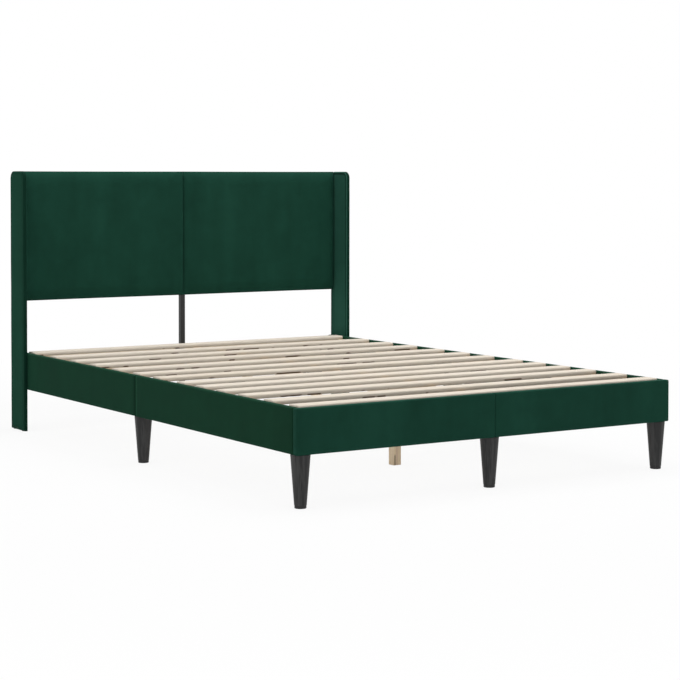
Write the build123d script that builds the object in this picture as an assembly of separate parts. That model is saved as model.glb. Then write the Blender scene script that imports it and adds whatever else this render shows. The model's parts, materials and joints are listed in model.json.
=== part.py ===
from build123d import *
import math
import os

os.makedirs("parts", exist_ok=True)

# An upholstered double bed frame with a winged headboard, in millimetres.
# X runs across the bed, Y from the foot to the head, Z up from the floor.
# The origin lies on the floor under the middle of the outline.

# The bed as a whole
bed_length = 2075
rail_span = 1440
headboard_height = 985
panel_height = 497
floor_clearance = 158
fit = 0.3
overrun = 1
seam_gap = 0.4

# Side rails and foot rail: a plywood board in a padded velvet cover
rail_height = 137
rail_board_thickness = 18
rail_padding = 3
rail_end_wrap = 1.5
rail_edge_radius = 4
rail_tail = 15

# Wings: a board in a thinner cover, beside the headboard and down to the floor
wing_depth = 126
wing_board_thickness = 12
wing_padding = 1
wing_corner_radius = 28
wing_foot_radius = 5
wing_edge_radius = 3

# Headboard halves: a board, a crowned pad on its front, velvet wrapped to the back
panel_board_thickness = 16
panel_side_gap = 4
panel_back_recess = 3
pad_depth = 12
pad_wing_gap = 0.5
pad_overhang = 1
pad_crown_rise = 2
pad_shoulder_depth = 9
pad_shoulder_reach = 45
pad_side_depth = 7
pad_side_reach = 14
wrap_thickness = 1
hem_width = 28

# Centre post: square steel tube with two welded straps
post_size = 20
post_wall = 1.5
post_corner_radius = 2
post_fit = 0.5
post_top_drop = 40
post_strap_length = 60
post_strap_width = 30
post_strap_shares = (0.2, 0.76)
plug_flange = 3
plug_stem = 15

# Slats and what carries them
slat_width = 56
slat_thickness = 14.5
slat_edge_radius = 5
slat_rise = 4
slat_end_gap = 5
slat_place_shares = (
    0.016, 0.091, 0.172, 0.242, 0.311, 0.378, 0.465, 0.542, 0.626, 0.719, 0.805, 0.894, 0.996,
)
ledge_width = 25
ledge_height = 30
ledge_foot_gap = 6
ledge_head_gap = 50
ledge_screw_shares = (0.12, 0.5, 0.88)
beam_width = 30
beam_height = 50
centre_leg_size = 30
centre_leg_pitch = 494
centre_leg_edge_radius = 1.5
head_rail_height = 110
head_rail_thickness = 20
head_rail_bolt_shares = (0.14, 0.38)

# Turned legs, their studs and glides
leg_inset = 31
leg_top_radius = 30
leg_foot_radius = 18.5
leg_edge_radius = 2
stud_radius = 4
stud_bite = 30
stud_rise = 14
leg_glide_radius = 17.8
leg_glide_height = 8
leg_glide_edge = 1.5
nail_glide_radius = 6.5
nail_glide_height = 1.5
nail_glide_inset = 24
glide_pin_radius = 1.5
glide_pin_length = 12

# Folded steel brackets at the corners and at the joints between rail halves
bracket_steel = 2.5
bracket_height = 73
bracket_bend_radius = 2
bracket_corner_radius = 8
joint_bracket_length = 160
corner_bracket_length = 86
shelf_size = 58
stud_boss_radius = 7
stud_boss_height = 8
bracket_row_shares = (0.3, 0.76)
joint_bolt_share = 0.34
corner_bolt_share = 0.74

# Steel angles, hangers and joint plates
strap_steel = 1.6
angle_long_leg = 30
angle_short_leg = 16.5
angle_height = 60
angle_screw_shares = (0.2, 0.8)
angle_place_shares = (0.1, 0.76)
head_angle_drop = 40
hanger_steel = 2
hanger_width = 90
hanger_seat = 40
hanger_height = 42
beam_plate_steel = 3
beam_plate_length = 120
beam_plate_height = 34
beam_plate_screw_shares = (0.2, 0.8)

# Bolts, insert nuts and screws
bolt_radius = 3
bolt_head_radius = 5.5
bolt_head_height = 3.5
insert_radius = 5
insert_length = 10
screw_radius = 2
screw_head_radius = 4
screw_head_height = 1.2
screw_bite = 9
wing_bolt_length_shares = (0.2, 0.48)
wing_bolt_height_shares = (0.25, 0.6)

# Planes that the pieces share
foot_front = -bed_length / 2
head_back = bed_length / 2
rail_face = rail_span / 2
rail_thickness = rail_board_thickness + 2 * rail_padding
rail_inner = rail_face - rail_thickness
foot_inner = foot_front + rail_thickness
rail_bottom = floor_clearance
rail_top = rail_bottom + rail_height
rail_head = head_back - rail_tail
rail_seam = (foot_inner + rail_head) / 2
wing_front = head_back - wing_depth
wing_thickness = wing_board_thickness + 2 * wing_padding
panel_bottom = headboard_height - panel_height
panel_back = head_back - panel_back_recess
board_back = panel_back - wrap_thickness
board_front = board_back - panel_board_thickness
pad_front = board_front - pad_depth
board_inner = post_size / 2 + post_fit + wrap_thickness
board_outer = rail_face - panel_side_gap - wrap_thickness
board_low = panel_bottom + pad_overhang + wrap_thickness
board_high = headboard_height - pad_overhang - wrap_thickness
slat_top = rail_top + slat_rise
ledge_top = slat_top - slat_thickness
ledge_bottom = ledge_top - ledge_height
beam_bottom = ledge_top - beam_height
post_front = head_back - post_size
post_top = headboard_height - post_top_drop
head_rail_back = post_front
head_rail_front = head_rail_back - head_rail_thickness
head_rail_bottom = ledge_top - head_rail_height
stud_offset = leg_inset - rail_thickness
sides = (("left", -1), ("right", 1))


def block(x, y, z):
    """Box between pairs of planes, given in either order."""
    spans = [sorted(pair) for pair in (x, y, z)]
    middle = [(low + high) / 2 for low, high in spans]
    return Pos(*middle) * Box(*[high - low for low, high in spans])


def soft_block(x, y, z, radius):
    """Box with every edge rounded, as padding under cloth."""
    body = block(x, y, z)
    return fillet(body.edges(), radius)


def rod(radius, low, high):
    """Cylinder on the local Z axis."""
    return Pos(0, 0, (low + high) / 2) * Cylinder(radius, high - low)


def group(solids):
    """Several separate solids as one shape."""
    return Compound(list(solids))


def frame(point, out):
    """Place with its Z axis along a fastener, pointing out of the head."""
    return Plane(origin=point, z_dir=out).location


def shares_between(low, high, shares):
    """Places at the given shares of the way from low to high."""
    return [low + (high - low) * share for share in shares]


# Where every bolt goes: its frame, its grip up to the insert nut, and the rail or post it enters
def joint_bracket_places():
    foot = Location((0, foot_inner, rail_bottom))
    left = Location((-rail_inner, rail_seam, rail_bottom), (0, 0, -90))
    right = Location((rail_inner, rail_seam, rail_bottom), (0, 0, 90))
    return {"foot": foot, "left": left, "right": right}


def bracket_bolts():
    grip = bracket_steel + rail_padding
    rows = [bracket_height * share for share in bracket_row_shares]
    bolts = []
    for name, place in joint_bracket_places().items():
        for along in (-joint_bracket_length, joint_bracket_length):
            for row in rows:
                seat = frame((along * joint_bolt_share, bracket_steel, row), (0, 1, 0))
                bolts.append((place * seat, grip, name))
    reach = corner_bracket_length * corner_bolt_share
    for name, side in sides:
        for row in rows:
            height = rail_bottom + row
            on_foot = (side * (rail_inner - reach), foot_inner + bracket_steel, height)
            on_side = (side * (rail_inner - bracket_steel), foot_inner + reach, height)
            bolts.append((frame(on_foot, (0, 1, 0)), grip, "foot"))
            bolts.append((frame(on_side, (-side, 0, 0)), grip, name))
    return bolts


def wing_bolts():
    grip = rail_thickness + wing_padding
    bolts = []
    for name, side in sides:
        for y in shares_between(wing_front, rail_head, wing_bolt_length_shares):
            for z in shares_between(rail_bottom, rail_top, wing_bolt_height_shares):
                bolts.append((frame((side * rail_inner, y, z), (-side, 0, 0)), grip, name))
    return bolts


def post_bolts():
    heights = shares_between(head_rail_bottom, ledge_top, head_rail_bolt_shares)
    return [
        (frame((0, head_rail_front, z), (0, -1, 0)), head_rail_thickness, "post")
        for z in heights
    ]


def angle_places():
    """Steel angles: outer corner, side, and how deep cloth lies under each leg."""
    places = []
    for name, side in sides:
        low = ledge_bottom - head_angle_drop - angle_height / 2
        corner = (side * rail_inner, head_rail_front, low)
        places.append((corner, name, side, "head"))
        for z in shares_between(panel_bottom, headboard_height, angle_place_shares):
            corner = (side * rail_face, panel_back + strap_steel, z)
            places.append((corner, name, side, "panel"))
    return places


# Where every wood screw goes: its frame, its length, and the piece it enters
def angle_screws():
    screws = []
    for (x, y, z), name, side, kind in angle_places():
        along = (strap_steel + angle_long_leg) / 2
        deep = (strap_steel + angle_short_leg) / 2
        for height in shares_between(z, z + angle_height, angle_screw_shares):
            inner = (x - side * strap_steel, y - deep, height)
            if kind == "head":
                flat = frame((x - side * along, y - strap_steel, height), (0, -1, 0))
                screws.append((flat, strap_steel + screw_bite, "head_rail"))
                length = strap_steel + rail_padding + screw_bite
                screws.append((frame(inner, (-side, 0, 0)), length, name))
            else:
                flat = frame((x - side * along, y, height), (0, 1, 0))
                length = strap_steel + wrap_thickness + screw_bite
                screws.append((flat, length, "panel_" + name))
                length = strap_steel + wing_padding + screw_bite
                screws.append((frame(inner, (-side, 0, 0)), length, "wing_" + name))
    return screws


def post_screws():
    screws = []
    length = strap_steel + wrap_thickness + screw_bite
    for z in shares_between(panel_bottom, headboard_height, post_strap_shares):
        for name, side in sides:
            x = side * (post_size / 2 + post_strap_length - post_strap_width / 2)
            seat = frame((x, panel_back + strap_steel, z), (0, 1, 0))
            screws.append((seat, length, "panel_" + name))
    return screws


def hanger_screws():
    screws = []
    x = (beam_width / 2 + hanger_steel + hanger_width / 2) / 2
    z = beam_bottom + hanger_height / 2
    for side in (-1, 1):
        seat = frame((side * x, foot_inner + hanger_steel, z), (0, 1, 0))
        screws.append((seat, hanger_steel + rail_padding + screw_bite, "foot"))
        seat = frame((side * x, head_rail_front - hanger_steel, z), (0, -1, 0))
        screws.append((seat, hanger_steel + screw_bite, "head_rail"))
    return screws


def beam_plate_screws():
    screws = []
    x = beam_width / 2 + beam_plate_steel
    z = beam_bottom + beam_height / 2
    start = rail_seam - beam_plate_length / 2
    for y in shares_between(start, start + beam_plate_length, beam_plate_screw_shares):
        for side in (-1, 1):
            screws.append((frame((side * x, y, z), (side, 0, 0)), beam_plate_steel + screw_bite, "beam"))
    return screws


def ledge_spans():
    foot_half = (foot_inner + ledge_foot_gap, rail_seam - seam_gap / 2)
    head_half = (rail_seam + seam_gap / 2, rail_head - ledge_head_gap)
    return (foot_half, head_half)


def ledge_screws():
    screws = []
    z = (ledge_top + ledge_bottom) / 2
    for name, side in sides:
        for low, high in ledge_spans():
            for y in shares_between(low, high, ledge_screw_shares):
                seat = frame((side * (rail_inner - ledge_width), y, z), (-side, 0, 0))
                screws.append((seat, ledge_width + rail_padding + screw_bite, name))
    return screws


all_bolts = bracket_bolts() + wing_bolts() + post_bolts()
all_screws = angle_screws() + post_screws() + hanger_screws() + beam_plate_screws() + ledge_screws()


def bolt_hole(place, grip):
    shank = rod(bolt_radius + fit, -grip - overrun, overrun)
    pocket = rod(insert_radius + fit, -grip - insert_length - fit, -grip)
    return place * (shank + pocket)


def screw_hole(place, length):
    return place * rod(screw_radius + fit, -length - fit, overrun)


def bored(body, *entered):
    """Take out the holes of the fasteners that enter the named pieces."""
    holes = [bolt_hole(place, grip) for place, grip, name in all_bolts if name in entered]
    holes += [screw_hole(place, size) for place, size, name in all_screws if name in entered]
    return body - holes


# Fasteners
def bolt(place, grip):
    head = rod(bolt_head_radius, 0, bolt_head_height)
    return place * (head + rod(bolt_radius, -grip - insert_length, 0))


def insert_nut(place, grip):
    ring = rod(insert_radius, -grip - insert_length, -grip)
    return place * (ring - rod(bolt_radius + fit, -grip - insert_length, -grip))


def wood_screw(place, length):
    head = rod(screw_head_radius, 0, screw_head_height)
    return place * (head + rod(screw_radius, -length, 0))


# Rails
def rail_cover(x, y, z, board):
    return soft_block(x, y, z, rail_edge_radius) - board


def side_rail_spans():
    return {
        "foot": (foot_inner, rail_seam - seam_gap / 2),
        "head": (rail_seam + seam_gap / 2, rail_head),
    }


def side_rail_board(name, side, half):
    low, high = side_rail_spans()[half]
    x = (side * (rail_inner + rail_padding), side * (rail_face - rail_padding))
    z = (rail_bottom + rail_padding, rail_top - rail_padding)
    return bored(block(x, (low + rail_end_wrap, high - rail_end_wrap), z), name)


def side_rail_cover(name, side, half):
    low, high = side_rail_spans()[half]
    x = (side * rail_inner, side * rail_face)
    z = (rail_bottom, rail_top)
    inner_x = (side * (rail_inner + rail_padding), side * (rail_face - rail_padding))
    inner_z = (rail_bottom + rail_padding, rail_top - rail_padding)
    hollow = block(inner_x, (low + rail_end_wrap, high - rail_end_wrap), inner_z)
    return bored(rail_cover(x, (low, high), z, hollow), name)


def foot_rail_board(side):
    x = (side * (seam_gap / 2 + rail_end_wrap), side * (rail_face - rail_padding))
    y = (foot_front + rail_padding, foot_inner - rail_padding)
    return bored(block(x, y, (rail_bottom + rail_padding, rail_top - rail_padding)), "foot")


def foot_rail_cover(side):
    x = (side * seam_gap / 2, side * rail_face)
    inner_x = (side * (seam_gap / 2 + rail_end_wrap), side * (rail_face - rail_padding))
    inner_y = (foot_front + rail_padding, foot_inner - rail_padding)
    inner_z = (rail_bottom + rail_padding, rail_top - rail_padding)
    hollow = block(inner_x, inner_y, inner_z)
    return bored(rail_cover(x, (foot_front, foot_inner), (rail_bottom, rail_top), hollow), "foot")


def slat_ledge(name, side):
    x = (side * (rail_inner - ledge_width), side * rail_inner)
    return group(bored(block(x, span, (ledge_bottom, ledge_top)), name) for span in ledge_spans())


def head_rail():
    reach = rail_inner - fit
    body = block((-reach, reach), (head_rail_front, head_rail_back), (head_rail_bottom, ledge_top))
    return bored(body, "head_rail", "post")


# Wings
def wing_outline(inset):
    """Side view of a wing, drawn in by the inset all round."""
    low = nail_glide_height + inset
    high = headboard_height - inset
    front = wing_front + inset
    back = head_back - inset
    corners = Polyline((front, low), (back, low), (back, high), (front, high), close=True)
    face = make_face(Plane.YZ * corners)
    rows = face.vertices().group_by(Axis.Z)
    face = fillet(rows[-1], wing_corner_radius - inset)
    rows = face.vertices().group_by(Axis.Z)
    return fillet(rows[0], wing_foot_radius - inset)


def wing_slab(side, inset):
    """Slab with rounded edges, drawn in by the inset on every face."""
    slab = extrude(wing_outline(inset), wing_thickness - 2 * inset, dir=(side, 0, 0))
    slab = fillet(slab.edges(), wing_edge_radius - inset)
    return Pos(side * (rail_face + inset), 0, 0) * slab


def glide_pin_hole(x, y, z):
    return Pos(x, y, z) * rod(glide_pin_radius + fit, -overrun, glide_pin_length + fit)


def wing_glide_points():
    x = rail_face + wing_thickness / 2
    ends = (wing_front + nail_glide_inset, head_back - nail_glide_inset)
    return [(side * x, y) for name, side in sides for y in ends]


def wing_holes():
    return [glide_pin_hole(x, y, nail_glide_height) for x, y in wing_glide_points()]


def wing_board(name, side):
    return bored(wing_slab(side, wing_padding), name, "wing_" + name) - wing_holes()


def wing_cover(name, side):
    skin = wing_slab(side, 0) - wing_slab(side, wing_padding)
    return bored(skin, name, "wing_" + name) - wing_holes()


# Headboard halves
def panel_board(name, side):
    x = (side * board_inner, side * board_outer)
    body = block(x, (board_front, board_back), (board_low, board_high))
    return bored(body, "panel_" + name)


def pad_section(x, recess):
    """Side view of the pad at one station: flat back, drawn-in ends and a crowned front."""
    front = pad_front + recess
    shoulder = pad_front + pad_shoulder_depth
    low = panel_bottom
    high = headboard_height
    back_low = Vector(x, board_front, low)
    back_high = Vector(x, board_front, high)
    high_shoulder = Vector(x, shoulder, high)
    high_front = Vector(x, front + pad_crown_rise, high - pad_shoulder_reach)
    middle = Vector(x, front, (low + high) / 2)
    low_front = Vector(x, front + pad_crown_rise, low + pad_shoulder_reach)
    low_shoulder = Vector(x, shoulder, low)
    outline = [
        Line(back_low, back_high),
        Line(back_high, high_shoulder),
        TangentArc(high_front, high_shoulder, tangent=(0, 0, 1)),
        ThreePointArc(high_front, middle, low_front),
        TangentArc(low_front, low_shoulder, tangent=(0, 0, -1)),
        Line(low_shoulder, back_low),
    ]
    return make_face(outline)


def pad_stations():
    """Stations across a pad with the front's recess at each, deepest at both sides."""
    inner = seam_gap / 2
    outer = rail_face - pad_wing_gap
    side_shares = (0, 0.12, 0.4, 1)
    turn = [(share, 1 - math.sqrt(1 - (1 - share) ** 2)) for share in side_shares]
    flats = pad_side_depth - pad_crown_rise
    stations = [(inner + pad_side_reach * share, flats * dip) for share, dip in turn]
    stations.append(((inner + outer) / 2, 0))
    stations += [(outer - pad_side_reach * share, flats * dip) for share, dip in reversed(turn)]
    return stations


def panel_pad(name, side):
    """Crowned foam and velvet front with the velvet wrapped round the board to a hem."""
    cushion = loft([pad_section(side * x, recess) for x, recess in pad_stations()], ruled=True)
    low_x = board_inner - wrap_thickness
    high_x = board_outer + wrap_thickness
    low_z = board_low - wrap_thickness
    high_z = board_high + wrap_thickness
    wrap = block((side * low_x, side * high_x), (board_front, panel_back), (low_z, high_z))
    wrap -= block(
        (side * board_inner, side * board_outer),
        (board_front - overrun, board_back),
        (board_low, board_high),
    )
    wrap -= hem_window(side, 0)
    half_space = post_size / 2 + post_fit
    post_space = block(
        (-half_space, half_space),
        (post_front - post_fit, head_back),
        (panel_bottom - overrun, post_top + plug_flange + post_fit),
    )
    return bored(cushion + wrap - post_space, "panel_" + name)


def hem_window(side, gap):
    """Space inside the hem on the back of a headboard half."""
    x_low = board_inner + hem_width + gap
    x_high = board_outer - hem_width - gap
    z = (board_low + hem_width + gap, board_high - hem_width - gap)
    return block((side * x_low, side * x_high), (board_back, panel_back), z)


def headboard_linings():
    return group(bored(hem_window(side, fit), "panel_" + name) for name, side in sides)


# Centre post and its plugs
def centre_post():
    length = post_top - plug_flange
    tube = extrude(RectangleRounded(post_size, post_size, post_corner_radius), length)
    inner_size = post_size - 2 * post_wall
    tube -= extrude(RectangleRounded(inner_size, inner_size, post_corner_radius - post_wall), length)
    tube = Pos(0, head_back - post_size / 2, plug_flange) * tube
    for z in shares_between(panel_bottom, headboard_height, post_strap_shares):
        for name, side in sides:
            x = (side * (post_size / 2 - post_wall), side * (post_size / 2 + post_strap_length))
            z_span = (z - post_strap_width / 2, z + post_strap_width / 2)
            tube += block(x, (panel_back, panel_back + strap_steel), z_span)
    return bored(tube, "post", "panel_left", "panel_right")


def post_plugs():
    stem_size = post_size - 2 * post_wall - 2 * fit
    flange = Box(post_size, post_size, plug_flange)
    stem = Pos(0, 0, (plug_flange + plug_stem) / 2) * Box(stem_size, stem_size, plug_stem)
    plug = flange + stem
    y = head_back - post_size / 2
    foot = Pos(0, y, plug_flange / 2) * plug
    top = Location((0, y, post_top + plug_flange / 2), (180, 0, 0)) * plug
    return group([foot, top])


# Folded steel brackets
def stud_boss(x, y):
    boss = Pos(x, y, 0) * rod(stud_boss_radius, 0, bracket_steel + stud_boss_height)
    bore = Pos(x, y, 0) * rod(stud_radius + fit, -overrun, bracket_steel + stud_boss_height + overrun)
    return boss, bore


def joint_bracket(name):
    """Plate across a seam between rail halves, with a shelf that takes a leg's stud."""
    half = joint_bracket_length / 2
    plate = block((-half, half), (0, bracket_steel), (0, bracket_height))
    plate = fillet(plate.edges().filter_by(Axis.Y), bracket_corner_radius)
    shelf = block((-shelf_size / 2, shelf_size / 2), (0, shelf_size), (0, bracket_steel))
    tips = shelf.edges().filter_by(Axis.Z).group_by(Axis.Y)[-1]
    shelf = fillet(tips, bracket_corner_radius)
    folded = plate + shelf
    folded = fillet(folded.edges().sort_by_distance((0, 0, 0))[0], bracket_bend_radius)
    boss, bore = stud_boss(0, stud_offset)
    return bored(joint_bracket_places()[name] * (folded + boss - bore), name)


def corner_bracket():
    """Left corner: a flange on each rail and a shelf with its tip cut off."""
    length = corner_bracket_length
    on_foot = block((0, length), (0, bracket_steel), (0, bracket_height))
    tips = on_foot.edges().filter_by(Axis.Y).group_by(Axis.X)[-1]
    on_foot = fillet(tips, bracket_corner_radius)
    on_side = block((0, bracket_steel), (0, length), (0, bracket_height))
    tips = on_side.edges().filter_by(Axis.X).group_by(Axis.Y)[-1]
    on_side = fillet(tips, bracket_corner_radius)
    shelf = block((0, shelf_size), (0, shelf_size), (0, bracket_steel))
    tip = shelf.edges().filter_by(Axis.Z).sort_by(Axis((0, 0, 0), (1, 1, 0)))[-1]
    shelf = chamfer(tip, shelf_size / 2)
    folded = on_foot + on_side + shelf
    bends = folded.edges().sort_by_distance((0, 0, 0))[:3]
    folded = fillet(bends, bracket_bend_radius)
    boss, bore = stud_boss(stud_offset, stud_offset)
    place = Location((-rail_inner, foot_inner, rail_bottom))
    return bored(place * (folded + boss - bore), "foot", "left")


def steel_angle(corner, side):
    x, y, z = corner
    height = (z, z + angle_height)
    long_leg = block((x, x - side * angle_long_leg), (y, y - strap_steel), height)
    return long_leg + block((x, x - side * strap_steel), (y, y - angle_short_leg), height)


def steel_angles():
    solids = []
    for corner, name, side, kind in angle_places():
        solids.append(bored(steel_angle(corner, side), name, "head_rail", "panel_" + name, "wing_" + name))
    return group(solids)


def beam_hanger():
    """Saddle for a beam end, with its back plate on the plane y = 0."""
    half_beam = beam_width / 2 + fit
    top = hanger_height
    back = block((-hanger_width / 2, hanger_width / 2), (0, hanger_steel), (-hanger_steel, top))
    outer = half_beam + hanger_steel
    seat = block((-outer, outer), (0, hanger_seat), (-hanger_steel, 0))
    cheeks = [
        block((side * half_beam, side * outer), (0, hanger_seat), (-hanger_steel, top))
        for side in (-1, 1)
    ]
    return back + seat + cheeks


def beam_hangers():
    foot = Location((0, foot_inner, beam_bottom)) * beam_hanger()
    head = Location((0, head_rail_front, beam_bottom), (0, 0, 180)) * beam_hanger()
    return group([bored(foot, "foot"), bored(head, "head_rail")])


def beam_plates():
    x = (beam_width / 2, beam_width / 2 + beam_plate_steel)
    y = (rail_seam - beam_plate_length / 2, rail_seam + beam_plate_length / 2)
    z = beam_bottom + beam_height / 2
    span = (z - beam_plate_height / 2, z + beam_plate_height / 2)
    right = block(x, y, span)
    left = mirror(right, about=Plane.YZ)
    return group([bored(left, "beam"), bored(right, "beam")])


# Centre beam and the square legs under it
def centre_leg_places():
    return {
        "foot": rail_seam - centre_leg_pitch,
        "middle": rail_seam,
        "head": rail_seam + centre_leg_pitch,
    }


def stud_hole(x, y, z):
    return Pos(x, y, z) * rod(stud_radius + fit, -stud_bite - fit, stud_rise + fit)


def centre_beam(half):
    low = foot_inner + hanger_steel + fit
    high = head_rail_front - hanger_steel - fit
    spans = {"foot": (low, rail_seam - seam_gap / 2), "head": (rail_seam + seam_gap / 2, high)}
    body = block((-beam_width / 2, beam_width / 2), spans[half], (beam_bottom, ledge_top))
    holes = [stud_hole(0, y, beam_bottom) for y in centre_leg_places().values()]
    return bored(body, "beam") - holes


def centre_leg(half):
    y = centre_leg_places()[half]
    height = beam_bottom - nail_glide_height
    body = Box(centre_leg_size, centre_leg_size, height)
    body = fillet(body.edges().filter_by(Axis.Z), centre_leg_edge_radius)
    body = Pos(0, y, nail_glide_height + height / 2) * body
    return body - stud_hole(0, y, beam_bottom) - glide_pin_hole(0, y, nail_glide_height)


# Turned legs, studs and glides
def leg_points():
    corner = rail_face - leg_inset
    front = foot_front + leg_inset
    return {
        "leg_foot_left": (-corner, front),
        "leg_foot_middle": (0, front),
        "leg_foot_right": (corner, front),
        "leg_side_left": (-corner, rail_seam),
        "leg_side_right": (corner, rail_seam),
    }


def turned_leg(x, y):
    height = floor_clearance - leg_glide_height
    body = Cone(leg_foot_radius, leg_top_radius, height)
    body = fillet(body.edges().filter_by(GeomType.CIRCLE), leg_edge_radius)
    body = Pos(x, y, leg_glide_height + height / 2) * body
    return body - stud_hole(x, y, floor_clearance) - glide_pin_hole(x, y, leg_glide_height)


def leg_studs():
    joints = [(x, y, floor_clearance) for x, y in leg_points().values()]
    joints += [(0, y, beam_bottom) for y in centre_leg_places().values()]
    return group(Pos(*joint) * rod(stud_radius, -stud_bite, stud_rise) for joint in joints)


def glide(radius, height, edge):
    pad = rod(radius, 0, height)
    pad = fillet(pad.edges().filter_by(GeomType.CIRCLE).group_by(Axis.Z)[0], edge)
    return pad + rod(glide_pin_radius, 0, height + glide_pin_length)


def leg_glides():
    pad = glide(leg_glide_radius, leg_glide_height, leg_glide_edge)
    return group(Pos(x, y, 0) * pad for x, y in leg_points().values())


def nail_glides():
    pad = glide(nail_glide_radius, nail_glide_height, nail_glide_height / 3)
    points = wing_glide_points() + [(0, y) for y in centre_leg_places().values()]
    return group(Pos(x, y, 0) * pad for x, y in points)


# Slats
def slat(share):
    near = foot_front + (wing_front - foot_front) * share
    reach = rail_inner - slat_end_gap
    body = block((-reach, reach), (near, near + slat_width), (slat_top - slat_thickness, slat_top))
    return fillet(body.edges().filter_by(Axis.X), slat_edge_radius)


def save(name, shape):
    export_step(shape, "parts/" + name + ".step")


for name, side in sides:
    save("headboard_board_" + name, panel_board(name, side))
    save("headboard_pad_" + name, panel_pad(name, side))
    save("wing_board_" + name, wing_board(name, side))
    save("wing_cover_" + name, wing_cover(name, side))
    save("side_rail_boards_" + name, group(side_rail_board(name, side, half) for half in ("foot", "head")))
    for half in ("foot", "head"):
        save("side_rail_cover_" + name + "_" + half, side_rail_cover(name, side, half))
    save("foot_rail_cover_" + name, foot_rail_cover(side))
    save("slat_ledge_" + name, slat_ledge(name, side))
    save("rail_joint_bracket_" + name, joint_bracket(name))

save("headboard_linings", headboard_linings())
save("foot_rail_boards", group(foot_rail_board(side) for name, side in sides))
save("foot_joint_bracket", joint_bracket("foot"))
left_corner = corner_bracket()
save("corner_bracket_left", left_corner)
save("corner_bracket_right", mirror(left_corner, about=Plane.YZ))
save("head_rail", head_rail())
save("centre_post", centre_post())
save("post_plugs", post_plugs())
save("steel_angles", steel_angles())
save("beam_hangers", beam_hangers())
save("beam_joint_plates", beam_plates())
save("centre_beam_foot", centre_beam("foot"))
save("centre_beam_head", centre_beam("head"))
for half in centre_leg_places():
    save("centre_leg_" + half, centre_leg(half))
for name, point in leg_points().items():
    save(name, turned_leg(*point))
save("leg_studs", leg_studs())
save("leg_glides", leg_glides())
save("nail_glides", nail_glides())
save("frame_bolts", group(bolt(place, grip) for place, grip, name in all_bolts))
save("insert_nuts", group(insert_nut(place, grip) for place, grip, name in all_bolts))
save("wood_screws", group(wood_screw(place, length) for place, length, name in all_screws))
for number, share in enumerate(slat_place_shares, start=1):
    save("slat_" + format(number, "02d"), slat(share))
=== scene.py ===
# Upholstered double bed frame with a winged headboard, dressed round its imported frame.
import json
from math import exp, pi, sqrt

import bmesh
import bpy
from mathutils import Matrix, Vector, noise

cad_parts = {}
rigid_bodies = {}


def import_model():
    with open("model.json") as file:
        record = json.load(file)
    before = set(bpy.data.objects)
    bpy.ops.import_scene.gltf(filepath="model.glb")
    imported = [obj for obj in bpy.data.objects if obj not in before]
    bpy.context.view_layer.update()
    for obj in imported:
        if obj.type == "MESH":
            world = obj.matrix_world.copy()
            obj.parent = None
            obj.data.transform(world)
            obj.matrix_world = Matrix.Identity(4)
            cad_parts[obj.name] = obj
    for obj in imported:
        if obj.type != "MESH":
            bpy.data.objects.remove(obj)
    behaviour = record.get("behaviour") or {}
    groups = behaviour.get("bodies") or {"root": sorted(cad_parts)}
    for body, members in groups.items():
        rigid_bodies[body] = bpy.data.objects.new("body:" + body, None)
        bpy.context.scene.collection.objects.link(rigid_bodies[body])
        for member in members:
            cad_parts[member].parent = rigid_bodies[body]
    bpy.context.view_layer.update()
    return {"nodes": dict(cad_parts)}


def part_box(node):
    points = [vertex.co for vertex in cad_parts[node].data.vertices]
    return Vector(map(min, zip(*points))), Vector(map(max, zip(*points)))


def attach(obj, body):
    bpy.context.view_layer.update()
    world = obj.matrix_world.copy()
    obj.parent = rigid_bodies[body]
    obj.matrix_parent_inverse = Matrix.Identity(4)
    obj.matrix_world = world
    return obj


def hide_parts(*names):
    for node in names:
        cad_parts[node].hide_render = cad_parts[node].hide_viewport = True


for thing in list(bpy.data.objects):  # the default cube, lamp and camera
    bpy.data.objects.remove(thing)

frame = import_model()
nodes = frame["nodes"]
scene = bpy.context.scene
sides = {"left": -1, "right": 1}
print("frame loaded,", len(nodes), "nodes")


# Camera, set to the photograph's view
cameraSet = {
    "place": (-3.4826, -5.54826, 0.9643),
    "turn": 0.5582,  # to the right of +Y
    "dip": 0.02962,
    "lens": 97.466,
    "sensor": 36,
    "shift": (0.04, -0.16),
    "clipEnd": 60,
}


def makeCamera():
    lens = bpy.data.cameras.new("camera")
    lens.sensor_width = cameraSet["sensor"]
    lens.lens = cameraSet["lens"]
    lens.shift_x, lens.shift_y = cameraSet["shift"]
    lens.clip_end = cameraSet["clipEnd"]
    camera = bpy.data.objects.new("camera", lens)
    camera.location = cameraSet["place"]
    camera.rotation_euler = (pi / 2 - cameraSet["dip"], 0, -cameraSet["turn"])
    scene.collection.objects.link(camera)
    scene.camera = camera


makeCamera()
print("camera placed")


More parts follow.
